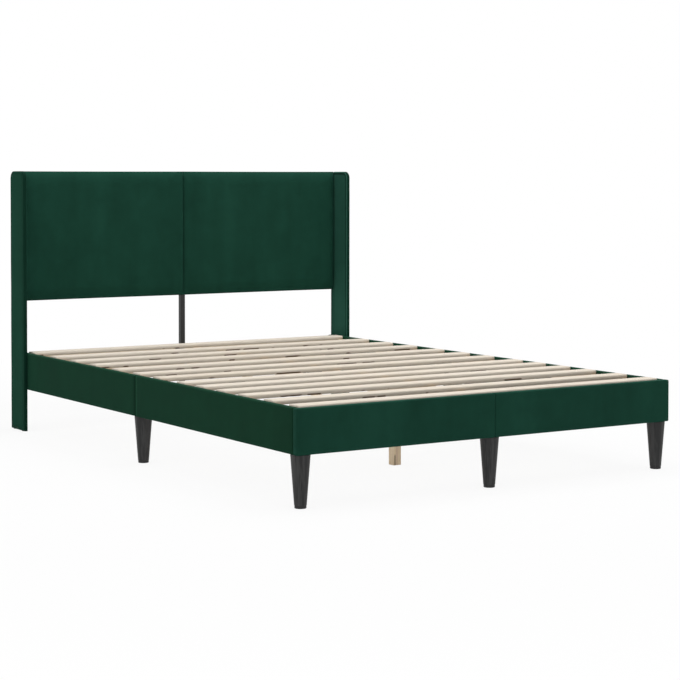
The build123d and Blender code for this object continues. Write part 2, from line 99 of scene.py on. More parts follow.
# Shader maths
class Value:  # a node socket that takes part in plain sums
    def __init__(self, socket):
        self.socket = socket
        self.tree = socket.id_data

    def node(self, kind, settings=None, inputs=None, output=0):
        made = self.tree.nodes.new("ShaderNode" + kind)
        for name, setting in (settings or {}).items():
            if name == "stops":
                self.setStops(made.color_ramp, setting)
            else:
                setattr(made, name, setting)
        for name, value in (inputs or {}).items():
            self.feed(value, made.inputs[name])
        return Value(made.outputs[output])

    def setStops(self, ramp, stops):
        while len(ramp.elements) < len(stops):
            ramp.elements.new(0.5)
        for element, (place, colour) in zip(ramp.elements, stops):
            element.position = place
            element.color = (*colour, 1)

    def feed(self, value, socket):
        if isinstance(value, Value):
            value.into(socket)
        else:
            socket.default_value = value

    def into(self, socket):
        self.tree.links.new(self.socket, socket)

    def maths(self, operation, other=0.0):
        return self.node("Math", {"operation": operation}, {0: self, 1: other})

    def __add__(self, other):
        return self.maths("ADD", other)

    def __sub__(self, other):
        return self.maths("SUBTRACT", other)

    def __rsub__(self, other):
        return self.node("Math", {"operation": "SUBTRACT"}, {0: other, 1: self})

    def __mul__(self, other):
        return self.maths("MULTIPLY", other)

    __radd__ = __add__
    __rmul__ = __mul__

    def __abs__(self):
        return self.maths("ABSOLUTE")

    def larger(self, other):
        return self.maths("MAXIMUM", other)

    def smaller(self, other):
        return self.maths("MINIMUM", other)

    def ranged(self, least, more):  # least at 0, and least + more at 1
        return self * more + least

    def between(self, rise, fall):  # 1 after the rise and before the fall, each a pair of ends
        return self.step(*rise) * (1 - self.step(*fall))

    def stretched(self, scale, shift=(0, 0, 0)):
        return self.node("Mapping", {}, {"Vector": self, "Scale": scale, "Location": shift})

    def cloud(self, size, detail=2.0, rough=0.5):  # noise with blobs of about this size
        settings = {"Vector": self, "Scale": 1 / size, "Detail": detail, "Roughness": rough}
        return self.node("TexNoise", {}, settings)

    def step(self, low, high):  # 0 below low, 1 above high, smooth between
        ends = {"Value": self, "From Min": low, "From Max": high}
        return self.node("MapRange", {"interpolation_type": "SMOOTHSTEP"}, ends)

    def tint(self, first, second):  # from the first colour at 0 to the second at 1
        colours = {0: self, 6: asColour(first), 7: asColour(second)}
        return self.node("Mix", {"data_type": "RGBA"}, colours, 2)

    def bump(self, depth):
        return self.node("Bump", {}, {"Height": self, "Distance": depth})

    def axis(self, letter):
        return self.node("SeparateXYZ", {}, {0: self}, "XYZ".index(letter))


def asColour(value):
    return value if isinstance(value, Value) else (*value[:3], 1)


def times(colour, shade):  # shade is one number, or one for each part of the colour
    shares = shade if isinstance(shade, tuple) else (shade,) * 3
    return tuple(part * share for part, share in zip(colour, shares))


def newMaterial(name, fixed):
    material = bpy.data.materials.new(name)
    material.use_nodes = True
    shader = material.node_tree.nodes["Principled BSDF"]
    for socket, value in fixed.items():
        shader.inputs[socket].default_value = value
    place = Value(material.node_tree.nodes.new("ShaderNodeTexCoord").outputs["Object"])
    return material, place


def finish(material, looks):
    shader = material.node_tree.nodes["Principled BSDF"]
    for socket, value in looks.items():
        value.into(shader.inputs[socket])
    return material


# Velvet: dark green pile, paler where it is brushed towards the light
velvetLook = {
    "deep": (0.0063, 0.0350, 0.0219),
    "mid": (0.0088, 0.0467, 0.0298),
    "brushed": (0.0120, 0.0590, 0.0388),
    "fixed": {
        "Specular IOR Level": 0.04,
        "Sheen Weight": 0.15,
        "Sheen Roughness": 0.5,
        "Sheen Tint": (0.08, 0.34, 0.24, 1),
    },
    "streaks": (7.5, 7.5, 1.1),
    "streakShare": 0.6,
    "handled": 0.09,
    "handledShare": 0.4,
    "stops": (0.3, 0.52, 0.72),
    "pile": 0.0011,
    "pileTip": (0.25, 0.8),
    "pileShare": 0.35,
    "pileDepth": 0.00035,
    "rough": (0.75, 0.2),  # at the darkest, and how much more at the palest
    # how far the deep colour darkens for painted shade, and how far the brushed colour lightens
    # (raised) for painted highlights
    "pressed": 0.55,
    "raised": 1.45,
    "shades": {  # painted shade and light, by the way each kind of face turns to the lamps
        # side rails, the wing's outside and its front strip painted darker as painted shade; the
        # wing's inside painted lighter as painted light; the cushion keeps the plain colour
        "sideRail": (0.62, 0.66, 0.50),
        "wingOutside": (0.78, 0.89, 0.80),
        "wingInside": (1.85, 1.44, 1.56),
        "wingEdge": (0.40, 0.50, 0.47),
        "cushion": (1, 1, 1),
    },
}


def makeVelvet(name, shade=(1, 1, 1), marks=None):
    # marks gives two masks from the place: where painted shade darkens the velvet, and where a
    # painted highlight lightens it
    look = velvetLook
    material, place = newMaterial(name, look["fixed"])
    streaks = place.stretched(look["streaks"]).cloud(1, 3, 0.55)
    handled = place.cloud(look["handled"], 3, 0.6)
    pile = place.cloud(look["pile"], 1)
    tone = streaks * look["streakShare"] + handled * look["handledShare"]
    deep, mid, brushed = (times(look[key], shade) for key in ("deep", "mid", "brushed"))
    stops = list(zip(look["stops"], (deep, mid, brushed)))
    nap = tone.node("ValToRGB", {"stops": stops}, {0: tone})
    colour = (pile.step(*look["pileTip"]) * look["pileShare"]).tint(nap, brushed)
    if marks:
        # painted shade and painted highlights where the marks put them
        dark, light = marks(place)
        colour = dark.tint(colour, times(deep, look["pressed"]))
        colour = light.tint(colour, times(brushed, look["raised"]))
    normal = (pile + handled * look["handledShare"]).bump(look["pileDepth"])
    rough = tone.ranged(*look["rough"])
    return finish(material, {"Base Color": colour, "Roughness": rough, "Normal": normal})


# Painted shade and painted highlights on the velvet: pairs of distances from an edge, the seam or
# the floor, between which the painted shade or highlight comes or goes, and how strong it is
wingMarks = {
    "corner": 0.028,
    # painted shade in a crease band inside the wing's edge
    "creaseRise": (0.0045, 0.0060),
    "creaseFall": (0.0110, 0.0145),
    "behind": (0.0275, 0.0340),  # painted shade in the strip behind the cushion's front
    "behindDark": 0.42,
    # painted highlight along the wing's arris
    "welt": (0.0030, 0.0048),
    # painted light low on the wing's inside
    "low": (0.30, 0.56),
    "lowLight": 0.22,
    # painted shade on the wing's outside, deepening towards its front edge
    "turned": (0.002, 0.034),
    "turnedDark": 0.5,
}
railMarks = {
    # painted shade on the head half beside the seam
    "tuckedRise": (-0.001, 0.001),
    "tuckedFall": (0.003, 0.024),
    "tuckedDark": 0.45,
    # painted highlight on the foot half's rounded end at the seam
    "raisedRise": (-0.012, -0.008),
    "raisedFall": (-0.002, 0.0),
    "raisedLight": 0.75,
}
cushionMarks = {
    # painted shade along the cushion's underside
    "under": (0.001, 0.006),
    "underDark": 0.5,
    # painted shade at the middle seam between the halves
    "middle": (0.001, 0.012),
    "middleDark": 0.18,
    # painted highlight below the top edge
    "top": (0.006, 0.030),
    "topLight": 0.26,
}


def wingReach(place):  # how far a point is inside a wing's front, back and top edge
    corner = wingMarks["corner"]
    low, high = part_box("wing_cover_left")
    y, z = place.axis("Y"), place.axis("Z")
    side = corner - (y - low.y).smaller(high.y - y)
    top = corner - (high.z - z)
    side, top = side.larger(0), top.larger(0)
    return corner - (side * side + top * top).maths("SQRT")


# painted shade in the crease and behind the cushion's front; painted highlight on the arris and
# painted light low down
def markWingInside(place):
    marks = wingMarks
    reach = wingReach(place)
    crease = reach.between(marks["creaseRise"], marks["creaseFall"])
    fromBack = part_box("wing_cover_left")[1].y - place.axis("Y")
    behind = (1 - fromBack.step(*marks["behind"])) * marks["behindDark"]
    welt = 1 - reach.step(*marks["welt"])
    low = 1 - place.axis("Z").step(*marks["low"])
    return crease.larger(behind), welt.larger(low * marks["lowLight"])


# painted shade towards the front edge of the wing's outside, and no painted highlight
def markWingOutside(place):
    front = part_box("wing_cover_left")[0].y
    turned = 1 - (place.axis("Y") - front).step(*wingMarks["turned"])
    return turned * wingMarks["turnedDark"], turned * 0


# painted shade beside the seam on the head half, and a painted highlight (raised) on the foot
# half's end
def markSideRail(place):
    marks = railMarks
    beyond = place.axis("Y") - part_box("side_rail_cover_left_foot")[1].y
    seamShade = beyond.between(marks["tuckedRise"], marks["tuckedFall"])
    raised = beyond.between(marks["raisedRise"], marks["raisedFall"])
    return seamShade * marks["tuckedDark"], raised * marks["raisedLight"]


# painted shade along the underside and at the middle seam, painted highlight below the top
def markCushion(place):
    marks = cushionMarks
    low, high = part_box("headboard_pad_left")
    z = place.axis("Z")
    under = 1 - (z - low.z).step(*marks["under"])
    top = 1 - (high.z - z).step(*marks["top"])
    middle = 1 - abs(place.axis("X")).step(*marks["middle"])
    dark = (under * marks["underDark"]).larger(middle * marks["middleDark"])
    return dark, top * marks["topLight"]


# Wood: grain, fibres and knots, stretched along the piece
woodSet = {
    "thin": {"X": (1.3, 60, 60), "Y": (60, 1.3, 60), "Z": (60, 60, 1.3)},
    "boards": {"X": (0.4, 4.3, 0.4), "Y": (4.3, 0.4, 0.4), "Z": (2, 2, 0.2)},
    "fibre": 6,  # how many times finer than the grain
    "shares": {"grain": 0.55, "fibre": 0.15, "board": 0.3},
    "tone": (0.3, 0.72),
    "lines": (0.58, 0.74),
    "lineShare": 0.6,
    "bump": {"grain": 0.7, "fibre": 0.3, "knot": 0.3},
    "knotAcross": 16,
    "knotFlat": 0.6,
    "knotShift": (0.37, 0.21, 0.4),
    "knotSize": (0.02, 0.09),
}


def woodTone(place, along, look):
    wood, shares = woodSet, woodSet["shares"]
    thin = wood["thin"][along]
    grain = place.stretched(thin).cloud(1, 4, 0.6)
    fibre = place.stretched(times(thin, wood["fibre"])).cloud(1, 2)
    board = place.stretched(wood["boards"][along]).cloud(1, 0)
    tone = grain * shares["grain"] + fibre * shares["fibre"] + board * shares["board"]
    colour = tone.step(*wood["tone"]).tint(look["pale"], look["warm"])
    lines = grain.step(*wood["lines"]) * wood["lineShare"]
    return lines.tint(colour, look["line"]), grain, fibre


def addKnots(place, along, look):
    across, flat, length = woodSet["knotAcross"], woodSet["knotFlat"], 1 / look["knotGap"]
    cells = {
        "X": (length, across, flat),
        "Y": (across, length, flat),
        "Z": (across, across, length),
    }
    spread = place.stretched(cells[along], woodSet["knotShift"])
    near, pick = (
        spread.node("TexVoronoi", {"feature": "F1"}, {"Vector": spread, "Scale": 1.0}, output)
        for output in (0, 1)
    )
    chosen = pick.axis("X").step(look["knotKeep"], look["knotKeep"] + 0.02)
    return (1 - near.step(*woodSet["knotSize"])) * chosen


def woodBump(grain, fibre, knot, depth):
    shares = woodSet["bump"]
    height = grain * shares["grain"] + fibre * shares["fibre"] - knot * shares["knot"]
    return height.bump(depth)


# Slats: pale sawn pine with painted shade on the lower part of their sides, and bits of bark low on
# them
slatLook = {
    "pale": (0.73, 0.66, 0.57),
    "warm": (0.67, 0.595, 0.495),
    "line": (0.56, 0.475, 0.375),
    "knot": (0.24, 0.15, 0.085),
    "knotGap": 0.34,
    "knotKeep": 0.62,
    "sawnShade": 0.74,
    "sawnRise": (0.0035, 0.0110),  # from the underside, where the painted shade fades out
    "sawnShare": 0.55,
    "bark": (0.11, 0.07, 0.04),
    "barkRise": (0.0035, 0.0070),
    "barkStretch": (9, 6, 9),
    "barkKeep": (0.61, 0.645),
    "depth": 0.0005,
    "rough": (0.7, 0.2),
    "fixed": {"Specular IOR Level": 0.12},
}


def makeSlatWood():
    look = slatLook
    material, place = newMaterial("slatPine", look["fixed"])
    colour, grain, fibre = woodTone(place, "X", look)
    knot = addKnots(place, "X", look)
    colour = knot.tint(colour, look["knot"])
    height = place.axis("Z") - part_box("slat_01")[0].z
    # painted shade on the slat's lower part
    lowShade = 1 - height.step(*look["sawnRise"])
    colour = (lowShade * look["sawnShare"]).tint(colour, times(look["line"], look["sawnShade"]))
    under = 1 - height.step(*look["barkRise"])
    bark = place.stretched(look["barkStretch"]).cloud(1, 2).step(*look["barkKeep"]) * under
    colour = bark.tint(colour, look["bark"])
    normal = woodBump(grain, fibre, knot, look["depth"])
    rough = grain.ranged(*look["rough"])
    return finish(material, {"Base Color": colour, "Roughness": rough, "Normal": normal})


# Planed pine of the ledges, beam, head rail and middle legs
pineLook = {
    "beam": {
        "pale": (0.70, 0.575, 0.415),
        "warm": (0.62, 0.485, 0.33),
        "line": (0.48, 0.345, 0.205),
        "knot": (0.22, 0.12, 0.06),
    },
    "leg": {
        "pale": (0.92, 0.78, 0.555),
        "warm": (0.85, 0.685, 0.47),
        "line": (0.62, 0.455, 0.29),
        "knot": (0.24, 0.13, 0.06),
        # the streaks' reddish colour, laid on more thickly on the front face as painted shade
        "heart": (0.60, 0.42, 0.32),
        "crack": (0.13, 0.075, 0.045),
    },
    "knotGap": 0.3,
    "knotKeep": 0.55,
    "depth": 0.0004,
    "rough": (0.5, 0.25),
    "fixed": {"Specular IOR Level": 0.3},
}
heartAndShadeSet = {
    "stretch": (190, 190, 5),
    "keep": (0.42, 0.62),
    "front": (0.0003, 0.0011),  # from the plane of the front
    "share": (0.06, 0.42),  # all over, and how much more on the front as painted shade
    "crackIn": 0.0052,  # from the leg's left corner
    "crackHalf": (0.0008, 0.0026),
    "crackTop": (0.030, 0.042),
}


def legHeartAndShade(place):
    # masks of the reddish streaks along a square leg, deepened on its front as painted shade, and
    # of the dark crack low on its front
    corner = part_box("centre_leg_middle")[0]
    streaks = place.stretched(heartAndShadeSet["stretch"]).cloud(1, 2).step(*heartAndShadeSet["keep"])
    front = 1 - (place.axis("Y") - corner.y).step(*heartAndShadeSet["front"])
    off = place.axis("X") - corner.x - heartAndShadeSet["crackIn"]
    crack = 1 - abs(off).step(*heartAndShadeSet["crackHalf"])
    low = 1 - place.axis("Z").step(*heartAndShadeSet["crackTop"])
    return streaks * front.ranged(*heartAndShadeSet["share"]), crack * low * front


def makePine(name, along, key):
    look, colours = pineLook, pineLook[key]
    material, place = newMaterial(name, look["fixed"])
    colour, grain, fibre = woodTone(place, along, colours)
    knot = addKnots(place, along, look)
    colour = knot.tint(colour, colours["knot"])
    if "heart" in colours:
        streaks, crack = legHeartAndShade(place)
        # reddish streaks, with painted shade on the front face
        colour = streaks.tint(colour, colours["heart"])
        colour = crack.tint(colour, colours["crack"])
    normal = woodBump(grain, fibre, knot, look["depth"])
    rough = grain.ranged(*look["rough"])
    return finish(material, {"Base Color": colour, "Roughness": rough, "Normal": normal})


# Plywood inside the velvet
plyLook = {
    "pale": (0.55, 0.42, 0.27),
    "dark": (0.36, 0.25, 0.15),
    "veneer": 0.0015,
    "glueLine": (-0.2, 0.2),
    "grain": (60, 1.5, 60),
    "depth": 0.0004,
    "fixed": {"Specular IOR Level": 0.3},
}


def makePlywood():
    look = plyLook
    material, place = newMaterial("plywood", look["fixed"])
    grain = place.stretched(look["grain"]).cloud(1, 3)
    turns = 2 * pi / (2 * look["veneer"])  # one light and one dark veneer a turn
    layers = (place.axis("Y") * turns).maths("SINE").step(*look["glueLine"])
    colour = (layers * 0.5 + grain * 0.5).tint(look["pale"], look["dark"])
    return finish(material, {"Base Color": colour, "Normal": grain.bump(look["depth"])})


# Turned legs: black stained wood under a thin satin lacquer
legLook = {
    "stain": (0.0155, 0.0155, 0.0157),
    "pore": (0.0480, 0.0477, 0.0472),
    "fine": (260, 260, 9),
    "broad": (85, 85, 3),
    "fineShare": 0.35,
    "broadShare": 0.65,
    "streak": (0.42, 0.62),
    "streakShare": 0.8,
    "worn": 0.03,
    "rough": 0.42,
    "uneven": 0.12,
    "coat": 0.2,
    "depth": 0.00025,
    "fixed": {"Specular IOR Level": 0.24, "Coat Roughness": 0.35},
}


def makeLegStain():
    look = legLook
    material, place = newMaterial("blackStain", look["fixed"])
    grain = place.stretched(look["fine"]).cloud(1, 3, 0.6)
    broad = place.stretched(look["broad"]).cloud(1, 2)
    worn = place.cloud(look["worn"], 2)
    streak = grain * look["fineShare"] + broad * look["broadShare"]
    streak = streak.step(*look["streak"]) * look["streakShare"]
    colour = streak.tint(look["stain"], look["pore"])
    rough = grain * look["uneven"] + worn * look["uneven"] + look["rough"]
    normal = grain.bump(look["depth"])
    looks = {"Base Color": colour, "Roughness": rough, "Normal": normal}
    looks["Coat Weight"] = worn * look["coat"]
    return finish(material, looks)


# Paints, plastics and plated steel
paintLook = {
    "post": {
        "colour": (0.0125, 0.0125, 0.0129), "worn": (0.020, 0.020, 0.020),
        "skin": 0.0016, "depth": 0.00012, "rough": 0.42,
    },
    "bracket": {
        "colour": (0.012, 0.012, 0.0125), "worn": (0.022, 0.022, 0.022),
        "skin": 0.0011, "depth": 0.0001, "rough": 0.4,
    },
    "glide": {
        "colour": (0.0095, 0.0095, 0.0095), "worn": (0.018, 0.018, 0.018),
        "skin": 0.0008, "depth": 0.00008, "rough": 0.5,
    },
    "cloud": 0.05,
    "wornKeep": (0.4, 0.75),
    "wornShare": 0.6,
    "uneven": 0.16,
    "fixed": {"Specular IOR Level": 0.4},
}


def makePaint(name, key):
    look, paint = paintLook, paintLook[key]
    material, place = newMaterial(name, look["fixed"])
    skin = place.cloud(paint["skin"], 2)
    cloud = place.cloud(look["cloud"], 3)
    worn = cloud.step(*look["wornKeep"]) * look["wornShare"]
    colour = worn.tint(paint["colour"], paint["worn"])
    rough = cloud * look["uneven"] + paint["rough"]
    normal = skin.bump(paint["depth"])
    return finish(material, {"Base Color": colour, "Roughness": rough, "Normal": normal})


zincLook = {
    "bright": (0.62, 0.63, 0.64),
    "dull": (0.38, 0.39, 0.40),
    "crystal": 0.004,
    "cloud": 0.02,
    "rough": (0.25, 0.25),
}


def makeZinc():
    look = zincLook
    material, place = newMaterial("zincPlate", {"Metallic": 1.0})
    crystals = place.node("TexVoronoi", {}, {"Vector": place, "Scale": 1 / look["crystal"]}, 1)
    shade = crystals.axis("X") * 0.5 + place.cloud(look["cloud"], 2) * 0.5
    colour = shade.tint(look["bright"], look["dull"])
    rough = shade.ranged(*look["rough"])
    return finish(material, {"Base Color": colour, "Roughness": rough})


# Lining: thin black spun cloth with its pressed dots
liningLook = {
    "cloth": (0.0125, 0.0125, 0.013),
    "thin": (0.03, 0.03, 0.031),
    "patch": 0.012,
    "patchKeep": (0.35, 0.75),
    "patchShare": 0.8,
    "dots": 0.0022,
    "dotSize": (0.05, 0.4),
    "fibres": (300, 300, 700),
    "depth": 0.0003,
    "rough": (0.75, 0.2),
    "fixed": {"Specular IOR Level": 0.2, "Sheen Weight": 0.15},
}


def makeLining():
    look = liningLook
    material, place = newMaterial("spunLining", look["fixed"])
    dots = place.node("TexVoronoi", {}, {"Vector": place, "Scale": 1 / look["dots"]})
    fibres = place.stretched(look["fibres"]).cloud(1, 3)
    patches = place.cloud(look["patch"], 3)
    thin = patches.step(*look["patchKeep"]) * look["patchShare"]
    colour = thin.tint(look["cloth"], look["thin"])
    normal = (dots.step(*look["dotSize"]) * 0.6 + fibres * 0.4).bump(look["depth"])
    rough = patches.ranged(*look["rough"])
    return finish(material, {"Base Color": colour, "Roughness": rough, "Normal": normal})


finishes = {
    "velvet": makeVelvet("greenVelvet"),
    "lining_cloth": makeLining(),
    "plywood_board": makePlywood(),
    "pine": makePine("planedPine", "Y", "beam"),
    "pine_leg": makePine("legPine", "Z", "leg"),
    "slat_wood": makeSlatWood(),
    "dark_leg": makeLegStain(),
    "post_paint": makePaint("postPaint", "post"),
    "glide_plastic": makePaint("glidePlastic", "glide"),
    "bracket_paint": makePaint("bracketPaint", "bracket"),
    "zinc_steel": makeZinc(),
}
velvetMarks = {
    "sideRail": markSideRail, "wingInside": markWingInside,
    "wingOutside": markWingOutside, "cushion": markCushion,
}
# velvet copies with painted shade and light for each kind of face, some with marks of painted shade
# and highlights
velvets = {
    name: makeVelvet(name + "Velvet", shade, velvetMarks.get(name))
    for name, shade in velvetLook["shades"].items()
}
headRailPine = makePine("crossPine", "X", "beam")
for name, node in nodes.items():
    slotName = node.data.materials[0].name.split(".")[0]
    node.material_slots[0].material = finishes[slotName]
nodes["head_rail"].material_slots[0].material = headRailPine
print("finishes made")


# Steps that the pieces share
def boxBetween(work, low, high):
    low, high = Vector(low), Vector(high)
    made = bmesh.ops.create_cube(work, size=1)["verts"]
    bmesh.ops.scale(work, vec=high - low, verts=made)
    bmesh.ops.translate(work, vec=(low + high) / 2, verts=made)
    return made


def edgesAlong(work, axis):
    return [e for e in work.edges if abs((e.verts[0].co - e.verts[1].co).normalized()[axis]) > 0.99]


def facesToward(work, axis, least=1e-4):
    return [f for f in work.faces if abs(f.normal[axis]) > 0.99 and f.calc_area() > least]


def roundOff(work, edges, radius, segments):
    bmesh.ops.bevel(
        work, geom=edges, offset=radius, offset_type="OFFSET", segments=segments,
        profile=0.5, affect="EDGES", clamp_overlap=True, material=-1,
    )


def cutAcross(work, axis, places):
    normal = Vector((0, 0, 0))
    normal[axis] = 1
    for place in places:
        parts = work.verts[:] + work.edges[:] + work.faces[:]
        point = normal * place
        bmesh.ops.bisect_plane(work, geom=parts, dist=1e-6, plane_co=point, plane_no=normal)


def evenly(low, high, step):
    count = max(1, round((high - low) / step))
    return [low + (high - low) * k / count for k in range(1, count)]


def makePiece(name, work, slotName, smooth=True, material=None):
    bmesh.ops.recalc_face_normals(work, faces=work.faces[:])
    for face in work.faces:
        face.smooth = smooth
    mesh = bpy.data.meshes.new(name)
    work.to_mesh(mesh)
    work.free()
    mesh.materials.append(material or finishes[slotName])
    piece = bpy.data.objects.new(name, mesh)
    scene.collection.objects.link(piece)
    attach(piece, "root")
    return piece


# Staples that hold the velvet and the lining
stapleSet = {"length": 0.011, "wire": 0.0010, "proud": 0.0006, "round": 0.35, "gap": 0.045}


def addStaple(work, centre, along, outward):
    half = [stapleSet["wire"] / 2] * 3
    half["XYZ".index(along)] = stapleSet["length"] / 2
    half["XYZ".index(outward)] = stapleSet["proud"] / 2
    made = boxBetween(work, Vector(centre) - Vector(half), Vector(centre) + Vector(half))
    edges = list({e for v in made for e in v.link_edges})
    roundOff(work, edges, stapleSet["proud"] * stapleSet["round"], 1)


# Wings: board in velvet, with a sewn band round the edge of each face
wingSet = {
    "corner": 0.028, "edge": 0.0029, "cell": 0.014,
    "band": ((0.0012, 0.0005), (0.0034, 0.0), (0.0010, -0.0014), (0.0010, 0.0009)),
    "ripple": 0.00035, "rippleSize": 0.07, "rippleSeed": 3,
    "pucker": 0.00016, "puckerSize": 0.016, "puckerReach": 0.012, "puckerSeed": 9,
    "flat": 0.6,  # how far to the side a face looks, to count as the inside or the outside
}


def rippleOf(point, size, seed):
    return noise.noise(point / size + Vector((seed, seed * 0.37, seed * 0.71)))


def makeWing(name, side):
    low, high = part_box("wing_cover_" + name)
    work = bmesh.new()
    boxBetween(work, low, high)
    across = edgesAlong(work, 0)
    middle = (low.z + high.z) / 2
    roundOff(work, [e for e in across if e.verts[0].co.z > middle], wingSet["corner"], 8)
    faces = facesToward(work, 0, least=0.01)
    roundOff(work, list({e for f in faces for e in f.edges}), wingSet["edge"], 4)
    for face in facesToward(work, 0, least=0.01):
        for width, rise in wingSet["band"]:
            bmesh.ops.inset_region(
                work, faces=[face], use_boundary=True, use_even_offset=True,
                thickness=width, depth=rise,
            )
    cutAcross(work, 2, evenly(low.z, high.z, wingSet["cell"]))
    cutAcross(work, 1, evenly(low.y, high.y, wingSet["cell"]))
    for vert in work.verts:
        point = vert.co.copy()
        reach = min(point.y - low.y, high.y - point.y, high.z - point.z)
        wave = rippleOf(point, wingSet["rippleSize"], wingSet["rippleSeed"] * side)
        tuck = rippleOf(point, wingSet["puckerSize"], wingSet["puckerSeed"] * side)
        tuck *= exp(-reach / wingSet["puckerReach"])
        vert.co.x += wingSet["ripple"] * wave + wingSet["pucker"] * tuck
    bmesh.ops.recalc_face_normals(work, faces=work.faces[:])
    # faces on the outside, the inside and the front strip take velvet copies with painted shade and
    # light
    for face in work.faces:
        turn, flat = face.normal.x * side, wingSet["flat"]
        face.material_index = 0 if turn > flat else 1 if turn < -flat else 2
    piece = makePiece("wing_" + name, work, "velvet")
    piece.data.materials[0] = velvets["wingOutside"]
    for shade in ("wingInside", "wingEdge"):
        piece.data.materials.append(velvets[shade])
    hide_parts("wing_cover_" + name)


for name, side in sides.items():
    makeWing(name, side)
print("wings made")


# Rail halves: foam and velvet round a board, folded over and stapled on the inside
railSet = {
    "edge": 0.0042, "cell": 0.014, "crown": 0.0007, "endTuck": 0.0009, "endReach": 0.012,
    "seam": 0.0002,  # half the gap between two halves, which the velvet closes
    "endFade": 0.12, "core": 0.007,  # points this near the middle of the board stay put
    "ripple": 0.0004, "rippleSize": 0.085,
    "flapRise": (0.012, 0.085),  # from the rail's underside, as the staples' rise is
    "flapDepth": 0.0009, "flapInset": 0.006, "flapSunk": 0.0003, "flapEdge": 0.0003,
    "stapleRise": 0.0795,
    "stapleOut": 0.3,  # of the wire's height above the velvet, where its middle lies
}


def makeRail(nodeName, thick, inner, join, staples):
    # thick is the axis across the rail, inner the way its inside faces, join its end at the seam
    low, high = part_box(nodeName)
    along = 1 - thick
    meeting = high if join > 0 else low
    meeting[along] += join * railSet["seam"]
    work = bmesh.new()
    boxBetween(work, low, high)
    roundOff(work, work.edges[:], railSet["edge"], 4)
    cutAcross(work, along, evenly(low[along], high[along], railSet["cell"]))
    cutAcross(work, 2, evenly(low.z, high.z, railSet["cell"]))
    seed = 5 * low[along] + low[thick]
    for vert in work.verts:
        point = vert.co.copy()
        up = 2 * (point.z - low.z) / (high.z - low.z) - 1
        end = min(point[along] - low[along], high[along] - point[along])
        middle = (low[thick] + high[thick]) / 2
        out = 1 if point[thick] > middle else -1
        if out == inner or abs(point[thick] - middle) < railSet["core"]:
            continue
        fade = min(1.0, end / railSet["endFade"])
        swell = railSet["crown"] * (1 - up * up) * fade
        swell += railSet["ripple"] * fade * rippleOf(point, railSet["rippleSize"], seed)
        swell -= railSet["endTuck"] * exp(-end / railSet["endReach"])
        vert.co[thick] += out * swell
    face = high[thick] if inner > 0 else low[thick]
    planes = (face - inner * railSet["flapSunk"], face + inner * railSet["flapDepth"])
    flapLow, flapHigh = low.copy(), high.copy()
    flapLow[thick], flapHigh[thick] = sorted(planes)
    flapLow[along] += railSet["flapInset"]
    flapHigh[along] -= railSet["flapInset"]
    flapLow.z, flapHigh.z = (low.z + rise for rise in railSet["flapRise"])
    made = boxBetween(work, flapLow, flapHigh)
    roundOff(work, list({e for v in made for e in v.link_edges}), railSet["flapEdge"], 1)
    # the side rails take the velvet copy painted darker as painted shade
    shade = velvets["sideRail"] if thick == 0 else None
    piece = makePiece(nodeName.replace("cover_", ""), work, "velvet", material=shade)
    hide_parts(nodeName)
    out = railSet["flapDepth"] + stapleSet["proud"] * railSet["stapleOut"]
    for spot in evenly(flapLow[along], flapHigh[along], stapleSet["gap"]):
        centre = Vector((0, 0, low.z + railSet["stapleRise"]))
        centre[along] = spot
        centre[thick] = face + inner * out
        addStaple(staples, centre, "XY"[along], "XY"[thick])


railStaples = bmesh.new()
for name, side in sides.items():
    for half, join in (("foot", 1), ("head", -1)):
        makeRail("side_rail_cover_" + name + "_" + half, 0, -side, join, railStaples)
    makeRail("foot_rail_cover_" + name, 1, 1, -side, railStaples)
makePiece("rail_staples", railStaples, "zinc_steel", smooth=False)
print("rails made")


# Slats: sawn boards, a little uneven, that reach almost to the velvet of the side rails
slatSet = {
    "reach": 0.0035, "edge": 0.0048, "endEdge": 0.0012, "cell": 0.028,
    "wander": 0.0009, "wanderSize": 0.16, "wanderSeed": 3,
    "cup": 0.0003, "cupSize": 0.24, "cupSeed": 11, "cupLow": 0.6,
    "apart": 7,  # sets the ripples of one slat apart from the next
}


def makeSlat(nodeName):
    low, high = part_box(nodeName)
    low.x -= slatSet["reach"]
    high.x += slatSet["reach"]
    work = bmesh.new()
    boxBetween(work, low, high)
    roundOff(work, edgesAlong(work, 0), slatSet["edge"], 4)
    ends = facesToward(work, 0)
    roundOff(work, list({e for f in ends for e in f.edges}), slatSet["endEdge"], 1)
    cutAcross(work, 0, evenly(low.x, high.x, slatSet["cell"]))
    middle = (low + high) / 2
    for vert in work.verts:
        point = vert.co.copy()
        along = Vector((point.x, slatSet["apart"] * middle.y, 0))
        edge = 1 if point.y > middle.y else -1
        wander = rippleOf(along, slatSet["wanderSize"], slatSet["wanderSeed"] + edge)
        vert.co.y += edge * slatSet["wander"] * wander
        if point.z > middle.z:
            cup = rippleOf(along, slatSet["cupSize"], slatSet["cupSeed"]) - slatSet["cupLow"]
            vert.co.z += slatSet["cup"] * cup
    piece = makePiece(nodeName.replace("slat", "slat_board"), work, "slat_wood")
    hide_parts(nodeName)


for nodeName in sorted(nodes):
    if nodeName.startswith("slat_") and nodeName[5:].isdigit():
        makeSlat(nodeName)
print("slats made")


